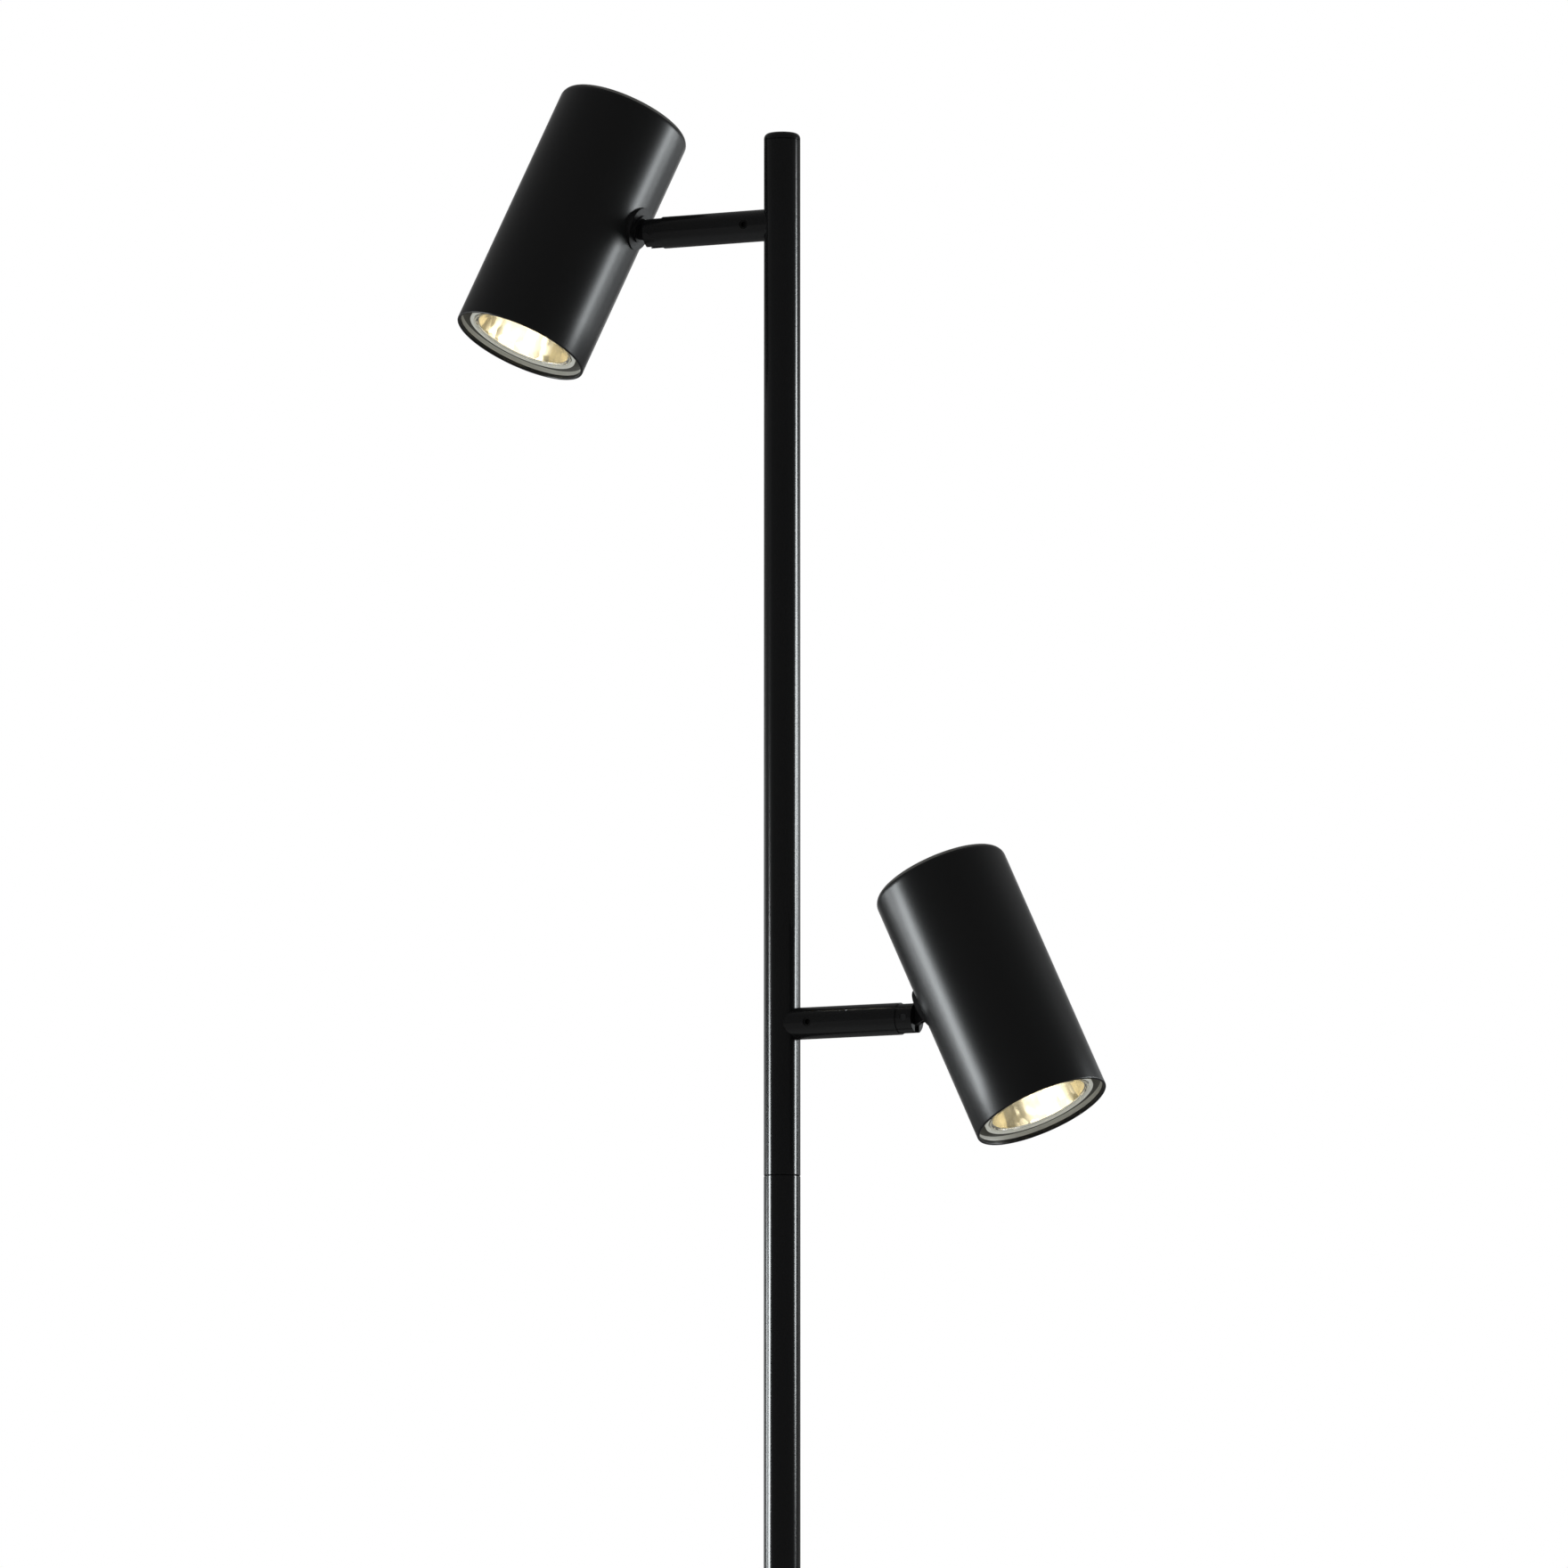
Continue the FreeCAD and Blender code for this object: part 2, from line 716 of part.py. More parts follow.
def make_shade(arm, place):
    radius = size("shade_radius")
    wall = size("shade_wall")
    length = size("shade_length")
    shade = turned(
        f"{arm}_shade_turned",
        [
            (ZERO, ZERO),
            (radius, ZERO),
            (radius, length),
            (shade_bore, length),
            (shade_bore, wall),
            (ZERO, wall),
        ],
    )
    rounded(shade, size("shade_corner"), [(radius, ZERO)])
    rounded(shade, size("shade_corner") - wall, [(shade_bore, wall)])
    hole_radius = size("thread_radius") + size("running_clearance")
    hole = rod(f"{arm}_shade_hole", hole_radius, 0, radius + over, AXIS_X, attach_spot())
    add_node(f"{arm}_shade", cut(f"{arm}_shade_cut", shade, hole), place)

    disc = rod(
        f"{arm}_rosette_disc",
        size("rosette_radius"),
        shade_bore - wall,
        rosette_face,
        AXIS_X,
        attach_spot(),
    )
    saddle = rod(f"{arm}_rosette_saddle", radius, under, length)
    bore = rod(f"{arm}_rosette_bore", hole_radius, 0, rosette_face + over, AXIS_X, attach_spot())
    add_node(f"{arm}_rosette", cut(f"{arm}_rosette_cut", disc, saddle, bore), place)


def make_holder(arm, place):
    half = size("bracket_width") / 2
    flange = block(
        f"{arm}_bracket_flange",
        (size("bracket_overhang") * -1, half * -1, flange_back),
        (leg_face, half, holder_back),
    )
    leg = block(
        f"{arm}_bracket_leg",
        (leg_inner, half * -1, flange_back),
        (leg_face, half, flange_back + size("bracket_leg")),
    )
    hole_radius = size("thread_radius") + size("running_clearance")
    hole = rod(
        f"{arm}_bracket_hole",
        hole_radius,
        leg_inner - over,
        leg_face + over,
        AXIS_X,
        attach_spot(),
    )
    screw_places = [size("holder_screw_spacing") / 2 * side for side in (-1, 1)]
    screw_bore = size("screw_radius") + size("seat_clearance")
    taps = []
    sockets = []
    screws = []
    for index, across in enumerate(screw_places):
        spot = Vector(across.number, 0, 0)
        tip = holder_back + size("screw_length")
        head_back = flange_back - size("screw_head_height")
        tap = f"{arm}_bracket_tap_{index}"
        taps.append(rod(tap, screw_bore, flange_back - over, holder_back + over, AXIS_Z, spot))
        socket = f"{arm}_holder_tap_{index}"
        sockets.append(rod(socket, screw_bore, holder_back - over, tip, AXIS_Z, spot))
        screw = f"{arm}_screw_{index}"
        shaft = rod(f"{screw}_shaft", size("screw_radius"), flange_back, tip, AXIS_Z, spot)
        head = rod(
            f"{screw}_head", size("screw_head_radius"), head_back, flange_back, AXIS_Z, spot
        )
        screws.append(joined(screw, shaft, head))
    bracket = cut(
        f"{arm}_bracket_cut", joined(f"{arm}_bracket_body", flange, leg), hole, *taps
    )
    add_node(f"{arm}_holder_bracket", bracket, place)
    add_node(f"{arm}_holder_screws", joined(f"{arm}_screw_pair", *screws), place)

    washer = ring(
        f"{arm}_fibre_washer_ring",
        size("washer_rim"),
        hole_radius,
        size("fibre_washer_thickness"),
    )
    turn = FreeCAD.Placement(attach_spot() + AXIS_X * fibre_inner.number, turn_to(AXIS_X))
    add_node(f"{arm}_fibre_washer", washer, place.multiply(turn))

    body = rod(f"{arm}_holder_body", size("holder_radius"), holder_back, holder_mouth)
    pits = []
    ports = []
    leads = []
    for index, side in enumerate((-1, 1)):
        across = size("pin_spacing").number / 2 * side
        pit_end = lamp_back - size("contact_length") - size("contact_tip_gap")
        pits.append(
            rod(
                f"{arm}_holder_pit_{index}",
                size("contact_head_radius") + size("holder_gap"),
                pit_end,
                holder_mouth + over,
                AXIS_Z,
                Vector(across, 0, 0),
            )
        )
        beside = size("head_lead_spacing").number / 2 * side
        spot = Vector(0, beside, attach_depth.number)
        inside = size("holder_radius") - size("lead_into_holder")
        radius = size("head_lead_radius")
        port = f"{arm}_holder_port_{index}"
        ports.append(
            rod(port, radius + size("running_clearance"), inside, axis_reach, AXIS_X, spot)
        )
        leads.append(rod(f"{arm}_head_lead_{index}", radius, inside, leg_face, AXIS_X, spot))
    holder = cut(f"{arm}_holder_cut", body, *pits, *ports, *sockets)
    add_node(f"{arm}_lampholder", holder, place)
    add_node(f"{arm}_head_leads", joined(f"{arm}_head_lead_pair", *leads), place)


# ---- lamp ----
def make_lamp(arm, place):
    outer = size("lamp_radius")
    rim_back = lamp_face - size("lamp_rim_length")
    base_front = lamp_back + size("lamp_base_length")
    shoulder = base_front + size("lamp_shoulder_length")
    floor = lamp_back + size("lamp_floor")
    inner_rim = outer - size("lamp_rim_wall")
    seat = lamp_face - size("lens_sink") - size("lens_thickness")
    cone_mouth = inner_rim - size("lamp_glass") / 2
    throat = size("reflector_throat") + size("reflector_wall") + size("reflector_gap")
    depth = lamp_back
    inner_bowl = bowl_profile(floor - depth, seat - depth, throat, cone_mouth)
    outer_bowl = bowl_profile(
        shoulder - depth, rim_back - depth, size("lamp_shoulder_radius"), outer
    )
    body = turned(
        f"{arm}_lamp_turned",
        [
            (ZERO, ZERO),
            (size("lamp_base_radius"), ZERO),
            (size("lamp_base_radius"), base_front - depth),
            *outer_bowl,
            (outer, lamp_face - depth),
            (inner_rim, lamp_face - depth),
            (inner_rim, seat - depth),
            *reversed(inner_bowl),
            (ZERO, floor - depth),
        ],
    )
    down = place.multiply(lift(depth))
    add_node(f"{arm}_lamp_body", body, down)

    lens = ring(
        f"{arm}_lens_disc", inner_rim - size("seat_clearance"), 0, size("lens_thickness")
    )
    add_node(f"{arm}_lamp_lens", lens, place.multiply(lift(seat)))

    chip = ring(f"{arm}_chip_disc", size("chip_radius"), 0, size("chip_thickness"))
    add_node(f"{arm}_lamp_chip", chip, place.multiply(lift(floor)))

    pins = []
    for index, side in enumerate((-1, 1)):
        spot = Vector(size("pin_spacing").number / 2 * side, 0, 0)
        tip = lamp_back - size("contact_length")
        neck = tip + size("contact_head_length")
        pin = f"{arm}_contact_{index}"
        head = rod(f"{pin}_head", size("contact_head_radius"), tip, neck, AXIS_Z, spot)
        stem = rod(f"{pin}_stem", size("contact_neck_radius"), neck, lamp_back, AXIS_Z, spot)
        pins.append(joined(pin, head, stem))
    add_node(f"{arm}_lamp_pins", joined(f"{arm}_contact_pair", *pins), place)

    start = floor + size("reflector_gap") / 2
    reflector = doc.addObject("Part::Feature", f"{arm}_reflector")
    reflector.Shape = faceted_bowl(
        start,
        seat - size("running_clearance"),
        size("reflector_throat"),
        cone_mouth - size("reflector_wall") - size("reflector_gap"),
        size("reflector_wall"),
    )
    add_node(f"{arm}_lamp_reflector", reflector, place)


def bowl_profile(low, high, throat, mouth):
    """(radius, height) points of a bowl that opens fast at first, like a parabola."""
    points = []
    for row in range(REFLECTOR_ROWS + 1):
        share = row / REFLECTOR_ROWS
        share_out = share + BOWL_BULGE * math.sin(math.pi * share)
        points.append((throat + (mouth - throat) * share_out, low + (high - low) * share))
    return points


def faceted_bowl(low, high, throat, mouth, wall):
    """The bowl in flat facets, with a wall."""
    step = 2 * math.pi / REFLECTOR_FACETS
    profile = bowl_profile(low, high, throat, mouth)

    def ring_points(spot, extra):
        radius = (spot[0] + extra).number
        height = spot[1].number
        return [
            Vector(radius * math.cos(step * n), radius * math.sin(step * n), height)
            for n in range(REFLECTOR_FACETS)
        ]

    def solid_bowl(extra):
        rings = [ring_points(spot, extra) for spot in profile]
        faces = [flat_face(rings[0]), flat_face(rings[-1])]
        for lower, upper in zip(rings, rings[1:]):
            for n in range(REFLECTOR_FACETS):
                after = (n + 1) % REFLECTOR_FACETS
                faces.append(flat_face([lower[n], lower[after], upper[after], upper[n]]))
        shell = Part.makeShell(faces)
        shell.sewShape()
        return Part.Solid(shell)

    return solid_bowl(wall).cut(solid_bowl(0))


def flat_face(points):
    return Part.Face(Part.makePolygon(points + points[:1]))


# ---- leads held inside the pole and arms ----
def make_lead(arm):
    """From the terminal block up through the pole, round one bend and along the arm."""
    side = SIDE[arm]
    across = size("lead_spacing").number / 2 * side
    bend = size("lead_bend").number
    block_face = (size("recess_radius") + size("lead_into_terminal")).number
    low = lead_floor.number
    high = arm_height[arm].number
    end = slot_floor.number - size("slot_clearance").number
    share = 1 - math.sqrt(0.5)
    route = [
        Part.LineSegment(Vector(across, block_face, low), Vector(across, bend, low)),
        Part.Arc(
            Vector(across, bend, low),
            Vector(across, bend * share, low + bend * share),
            Vector(across, 0, low + bend),
        ),
        Part.LineSegment(Vector(across, 0, low + bend), Vector(across, 0, high - bend)),
        Part.Arc(
            Vector(across, 0, high - bend),
            Vector(across + side * bend * share, 0, high - bend * share),
            Vector(across + side * bend, 0, high),
        ),
        Part.LineSegment(Vector(across + side * bend, 0, high), Vector(side * end, 0, high)),
    ]
    path = Part.Wire([piece.toShape() for piece in route])
    radius = size("lead_radius").number
    section = Part.Wire(Part.makeCircle(radius, Vector(across, block_face, low), AXIS_Y))
    solid = path.makePipeShell([section], True, False)
    expected = math.pi * radius**2 * path.Length
    print(f"{arm} lead: length {path.Length:.1f} mm, volume off by {solid.Volume - expected:.3f}")
    lead = doc.addObject("Part::Feature", f"{arm}_pole_lead_tube")
    lead.Shape = solid
    add_node(f"{arm}_pole_lead", lead)


def check_and_export():
    doc.recompute()
    for item, place in nodes.values():
        item.Placement = place.multiply(item.Placement)
    doc.recompute()
    for item in doc.Objects:
        if "Invalid" in item.State or "Error" in item.State:
            raise RuntimeError(f"{item.Name} failed to build: {item.State}")
    os.makedirs("parts", exist_ok=True)
    for name, (item, _place) in nodes.items():
        shape = item.Shape
        if shape.isNull() or not shape.isValid() or not shape.Solids:
            raise RuntimeError(f"{name} has no valid solid")
        shape.exportStep(f"parts/{name}.step")
    print(len(nodes), "parts written")


make_base()
make_pole()
for arm_name in SIDE:
    make_arm(arm_name)
    make_knuckle(arm_name)
    place_of_head = head_place(arm_name)
    make_shade(arm_name, place_of_head)
    make_holder(arm_name, place_of_head)
    make_lamp(arm_name, place_of_head)
    make_lead(arm_name)
check_and_export()
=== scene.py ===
import json
import math

import bpy
import bmesh
import numpy as np
from mathutils import Matrix, Vector

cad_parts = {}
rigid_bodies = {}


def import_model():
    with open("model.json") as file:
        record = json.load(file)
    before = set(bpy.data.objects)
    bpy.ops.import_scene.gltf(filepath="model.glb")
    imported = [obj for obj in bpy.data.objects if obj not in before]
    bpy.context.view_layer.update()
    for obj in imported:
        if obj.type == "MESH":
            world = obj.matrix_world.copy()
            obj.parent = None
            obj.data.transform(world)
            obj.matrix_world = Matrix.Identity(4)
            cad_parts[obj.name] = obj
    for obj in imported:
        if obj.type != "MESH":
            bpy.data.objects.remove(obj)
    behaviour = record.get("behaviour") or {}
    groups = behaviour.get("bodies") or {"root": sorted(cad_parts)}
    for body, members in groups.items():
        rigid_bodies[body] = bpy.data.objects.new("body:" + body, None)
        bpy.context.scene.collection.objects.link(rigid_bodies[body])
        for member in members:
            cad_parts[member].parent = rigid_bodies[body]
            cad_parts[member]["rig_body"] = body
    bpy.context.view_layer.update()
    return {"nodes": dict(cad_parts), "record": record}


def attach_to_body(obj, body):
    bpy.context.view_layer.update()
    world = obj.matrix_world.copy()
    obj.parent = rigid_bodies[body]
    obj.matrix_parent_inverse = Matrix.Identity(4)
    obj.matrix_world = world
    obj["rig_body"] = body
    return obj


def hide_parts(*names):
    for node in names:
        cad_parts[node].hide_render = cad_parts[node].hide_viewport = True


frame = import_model()

MM = 0.001

# ---- the lamp's own measures, in millimetres, as the construction has them ----
POLE_RADIUS = 8.0
POLE_BORE = 6.8
TUBE_LENGTH = 454.2
TUBE_STARTS = {"lower": 15.2, "middle": 469.4, "top": 923.6}
TUBE_CHAMFER = 0.35
TUBE_SEGMENTS = 96
HEAD_SEGMENTS = 160
SHADE_RADIUS = 30.0
SHADE_WALL = 1.2
SHADE_LENGTH = 117.5
SHADE_CORNER = 4.2
PAINTED_LAMPLIT_BAND = (1.85, 3.8)  # depths under the rim between which the inner wall is bare; its pale tone there is painted lamplight
LAMP_RECESS = 3.0
LENS_RADIUS = 23.6
LENS_BACK = 2.1  # depths of the lens's back and front behind the lamp's face
LENS_FRONT = 0.5
LENS_BEAD = 1.1
LENS_BEAD_RISE = 0.2
LENS_GROOVE = (21.3, 21.0)
LENS_GROOVE_DEPTH = 0.25
LENS_FACE_RADIUS = 20.4
LENS_SWELL = 0.3
ATTACH_DEPTH = 50.1
AXIS_REACH = 39.0
PIN_DISTANCE = 61.5
ARM_HEIGHT = {"upper": 1340.8, "lower": 989.6}
SIDE = {"upper": -1, "lower": 1}
TILT = {"upper": 16.8, "lower": 26.0}
SWIVEL = {"upper": 19.9, "lower": 1.8}

SMOOTH_UP_TO = 32.0  # degrees between faces, beyond which an edge stays sharp

# ---- where the photograph was taken from ----
CAMERA_AZIMUTH = 26.6
CAMERA_DISTANCE = 6.7
CAMERA_HEIGHT = 0.3337
CAMERA_PITCH = 6.48
CAMERA_YAW = 0.00696
CAMERA_LENS = 356.0
SENSOR_WIDTH = 36.0
SIGHT_RANGE = (0.05, 120.0)


# ================= shapes =================
def head_frame(arm):
    """(origin, x, y, z) of a head: origin in the closed end, z to the mouth, x to the knuckle."""
    side = SIDE[arm]
    tilt = math.radians(TILT[arm])
    swivel = math.radians(SWIVEL[arm])
    towards = np.array([side * math.cos(tilt), 0.0, math.sin(tilt)])
    hanging = np.array([side * math.sin(tilt), 0.0, -math.cos(tilt)])
    axis = hanging * math.cos(swivel) + np.array([0.0, -1.0, 0.0]) * math.sin(swivel)
    pivot = np.array([side * PIN_DISTANCE, 0.0, ARM_HEIGHT[arm]])
    attach = pivot + towards * AXIS_REACH
    back = -towards
    return attach - axis * ATTACH_DEPTH, back, np.cross(axis, back), axis


UPRIGHT = (np.zeros(3), np.array([1.0, 0, 0]), np.array([0, 1.0, 0]), np.array([0, 0, 1.0]))


def raised(height):
    origin, x, y, z = UPRIGHT
    return origin + z * height, x, y, z


def grid_mesh(name, points, closed_along=False):
    """A mesh over a grid of points[along, across], closed across: each cell is one quad."""
    rows, columns = points.shape[:2]
    along = np.arange(rows if closed_along else rows - 1)
    a, c = np.meshgrid(along, np.arange(columns), indexing="ij")
    a_next = (a + 1) % rows
    c_next = (c + 1) % columns
    quads = np.stack(
        [a * columns + c, a * columns + c_next, a_next * columns + c_next, a_next * columns + c],
        axis=-1,
    ).reshape(-1, 4)
    mesh = bpy.data.meshes.new(name)
    mesh.from_pydata((points.reshape(-1, 3) * MM).tolist(), [], quads.tolist())
    mesh.update()
    return mesh


def turned_surface(name, profile, place, segments=HEAD_SEGMENTS):
    """A lathe-turned skin: point = origin + r (x cos t + y sin t) + z h, for each (r, h) of the
    closed profile and t once round. Points on the axis are merged to one."""
    origin, x, y, z = place
    turn = np.linspace(0, 2 * np.pi, segments, endpoint=False)
    radius = np.array([spot[0] for spot in profile])[:, None, None]
    height = np.array([spot[1] for spot in profile])[:, None, None]
    spoke = np.cos(turn)[None, :, None] * x + np.sin(turn)[None, :, None] * y
    closed = profile[0][0] > 0 or profile[-1][0] > 0
    points = origin + radius * spoke + height * z
    mesh = grid_mesh(name, points, closed_along=closed)
    return finished_mesh(name, mesh)


def placed_smooth(name, mesh):
    """A new object with this mesh, shaded smooth except at the sharp edges."""
    mesh.polygons.foreach_set("use_smooth", [True] * len(mesh.polygons))
    mesh.set_sharp_from_angle(angle=math.radians(SMOOTH_UP_TO))
    piece = bpy.data.objects.new(name, mesh)
    bpy.context.scene.collection.objects.link(piece)
    return piece


def finished_mesh(name, mesh):
    """Merges doubles, turns the faces outwards and shades the mesh smooth."""
    work = bmesh.new()
    work.from_mesh(mesh)
    bmesh.ops.remove_doubles(work, verts=work.verts, dist=1e-6)
    bmesh.ops.dissolve_degenerate(work, edges=work.edges, dist=1e-7)
    bmesh.ops.recalc_face_normals(work, faces=work.faces)
    work.to_mesh(mesh)
    work.free()
    return placed_smooth(name, mesh)


def arc(centre, radius, start, end, steps=6):
    """Points of an arc in the (radius, height) plane, angles in degrees from outwards."""
    turn = np.radians(np.linspace(start, end, steps))
    return [(centre[0] + radius * math.cos(t), centre[1] + radius * math.sin(t)) for t in turn]


def shade_profile():
    """The shade's wall: rounded shoulders at the closed end and a softly broken rim."""
    outer, inner = SHADE_RADIUS, SHADE_RADIUS - SHADE_WALL
    rim = SHADE_WALL / 2
    small = SHADE_CORNER - SHADE_WALL
    side_steps = [(outer, h) for h in np.linspace(SHADE_CORNER, SHADE_LENGTH - rim, 8)][1:-1]
    # profile rows at the edges of the inner wall's pale band, which is painted lamplight
    band = [SHADE_LENGTH - depth for depth in PAINTED_LAMPLIT_BAND]
    deeper = np.linspace(band[1], SHADE_CORNER, 7)[:-1]
    inside_steps = [(inner, h) for h in (band[0], *deeper)]
    return [
        (0.0, 0.0),
        *[(r, 0.0) for r in (10.0, 20.0)],
        *arc((outer - SHADE_CORNER, SHADE_CORNER), SHADE_CORNER, -90, 0, 10),
        *side_steps,
        *arc((outer - rim, SHADE_LENGTH - rim), rim, 0, 180, 9),
        *inside_steps,
        *arc((inner - small, SHADE_CORNER), small, 0, -90, 8),
        (0.0, SHADE_WALL),
    ]


def lens_profile():
    """The cover glass from its back to its front: a rounded bead at the rim, a groove inside
    the bead, and a face that swells a little towards the middle."""
    face = SHADE_LENGTH - LAMP_RECESS
    back, front = face - LENS_BACK, face - LENS_FRONT
    bead_centre = (LENS_RADIUS - LENS_BEAD, front - LENS_BEAD + LENS_BEAD_RISE)
    swell = [
        (r, front + LENS_SWELL * (0.5 - (r / LENS_FACE_RADIUS) ** 2))
        for r in np.linspace(LENS_FACE_RADIUS, 0, 16)
    ]
    return [
        (0.0, back),
        (12.0, back),
        (LENS_RADIUS - 0.3, back),
        (LENS_RADIUS, back + 0.3),
        *arc(bead_centre, LENS_BEAD, 0, 130, 12),
        *[(r, front - LENS_GROOVE_DEPTH) for r in LENS_GROOVE],
        *swell,
    ]


def tube_profile():
    """A pole tube's wall with its turned ends broken by a small chamfer."""
    c = TUBE_CHAMFER
    outer = [(POLE_RADIUS, h) for h in np.linspace(c, TUBE_LENGTH - c, 12)]
    return [
        (POLE_BORE, 0.0),
        (POLE_RADIUS - c, 0.0),
        *outer,
        (POLE_RADIUS - c, TUBE_LENGTH),
        (POLE_BORE, TUBE_LENGTH),
    ]


def smooth_copy(node_name, name):
    """A copy of a CAD node with its triangles joined and its curved faces shaded smooth."""
    mesh = frame["nodes"][node_name].data.copy()
    mesh.name = name
    if "custom_normal" in mesh.attributes:
        mesh.attributes.remove(mesh.attributes["custom_normal"])
    work = bmesh.new()
    work.from_mesh(mesh)
    bmesh.ops.remove_doubles(work, verts=work.verts, dist=2e-6)
    work.to_mesh(mesh)
    work.free()
    return placed_smooth(name, mesh)


def camera_directions():
    turn = math.radians(CAMERA_AZIMUTH)
    forward = Vector((-math.sin(turn), math.cos(turn), 0))
    rightwards = Vector((math.cos(turn), math.sin(turn), 0))
    return forward, rightwards


FORWARD, RIGHTWARDS = camera_directions()


# ================= finishes =================
def new_group(name, inputs, outputs):
    group = bpy.data.node_groups.new(name, "ShaderNodeTree")
    for label, kind, value in inputs:
        socket = group.interface.new_socket(name=label, in_out="INPUT", socket_type=kind)
        socket.default_value = value
    for label, kind in outputs:
        group.interface.new_socket(name=label, in_out="OUTPUT", socket_type=kind)
    return group, group.nodes.new("NodeGroupInput"), group.nodes.new("NodeGroupOutput")


MIX_FACTOR, MIX_FIRST, MIX_SECOND, MIX_RESULT = 0, 6, 7, 2  # a colour Mix node's sockets


def add_colour_mix(tree, first, second, factor):
    """The output of a node that goes from one colour to the other with the factor."""
    mix = tree.nodes.new("ShaderNodeMix")
    mix.data_type = "RGBA"
    mix.inputs[MIX_FIRST].default_value = (*first, 1)
    mix.inputs[MIX_SECOND].default_value = (*second, 1)
    tree.links.new(factor, mix.inputs[MIX_FACTOR])
    return mix.outputs[MIX_RESULT]


def add_range(tree, value, source, target, interpolation="SMOOTHSTEP"):
    """The output of a node that maps the value from one pair of limits to another."""
    spread = tree.nodes.new("ShaderNodeMapRange")
    spread.interpolation_type = interpolation
    spread.inputs["From Min"].default_value, spread.inputs["From Max"].default_value = source
    spread.inputs["To Min"].default_value, spread.inputs["To Max"].default_value = target
    tree.links.new(value, spread.inputs["Value"])
    return spread.outputs["Result"]


def add_math(tree, operation, first, second=None):
    """The output of a Math node; second is a number, another node's output or nothing."""
    node = tree.nodes.new("ShaderNodeMath")
    node.operation = operation
    tree.links.new(first, node.inputs[0])
    if isinstance(second, float):
        node.inputs[1].default_value = second
    elif second is not None:
        tree.links.new(second, node.inputs[1])
    return node.outputs[0]


def make_grain_group():
    """Fine grain and slow mottling over the surface, both from 0 to 1."""
    group, given, result = new_group(
        "surface_grain",
        [
            ("Place", "NodeSocketVector", (0, 0, 0)),
            ("Grain Scale", "NodeSocketFloat", 1500.0),
            ("Mottle Scale", "NodeSocketFloat", 30.0),
        ],
        [("Grain", "NodeSocketFloat"), ("Mottle", "NodeSocketFloat")],
    )
    links = group.links
    for label, scale, detail in (("Grain", "Grain Scale", 3.0), ("Mottle", "Mottle Scale", 4.0)):
        noise = group.nodes.new("ShaderNodeTexNoise")
        noise.inputs["Detail"].default_value = detail
        links.new(given.outputs["Place"], noise.inputs["Vector"])
        links.new(given.outputs[scale], noise.inputs["Scale"])
        links.new(noise.outputs["Fac"], result.inputs[label])
    return group


GRAIN = make_grain_group()


def finish(name, dark, light, rough, grain_scale, mottle_scale, bump, **sockets):
    """A finish that drifts between two colours and two roughnesses, over a fine grain. bump is
    the grain's (strength, distance); sockets are constants for the shader's own inputs."""
    material = bpy.data.materials.new(name)
    material.use_nodes = True
    tree = material.node_tree
    shader = tree.nodes["Principled BSDF"]
    place = tree.nodes.new("ShaderNodeTexCoord")
    grain = tree.nodes.new("ShaderNodeGroup")
    grain.node_tree = GRAIN
    grain.inputs["Grain Scale"].default_value = grain_scale
    grain.inputs["Mottle Scale"].default_value = mottle_scale
    tree.links.new(place.outputs["Object"], grain.inputs["Place"])
    colour = add_colour_mix(tree, dark, light, grain.outputs["Mottle"])
    tree.links.new(colour, shader.inputs["Base Color"])
    roughness = add_range(tree, grain.outputs["Grain"], (0.0, 1.0), rough, "LINEAR")
    tree.links.new(roughness, shader.inputs["Roughness"])
    relief = tree.nodes.new("ShaderNodeBump")
    relief.inputs["Strength"].default_value = bump[0]
    relief.inputs["Distance"].default_value = bump[1]
    tree.links.new(grain.outputs["Grain"], relief.inputs["Height"])
    tree.links.new(relief.outputs["Normal"], shader.inputs["Normal"])
    for label, value in sockets.items():
        shader.inputs[label.replace("_", " ")].default_value = value
    return material


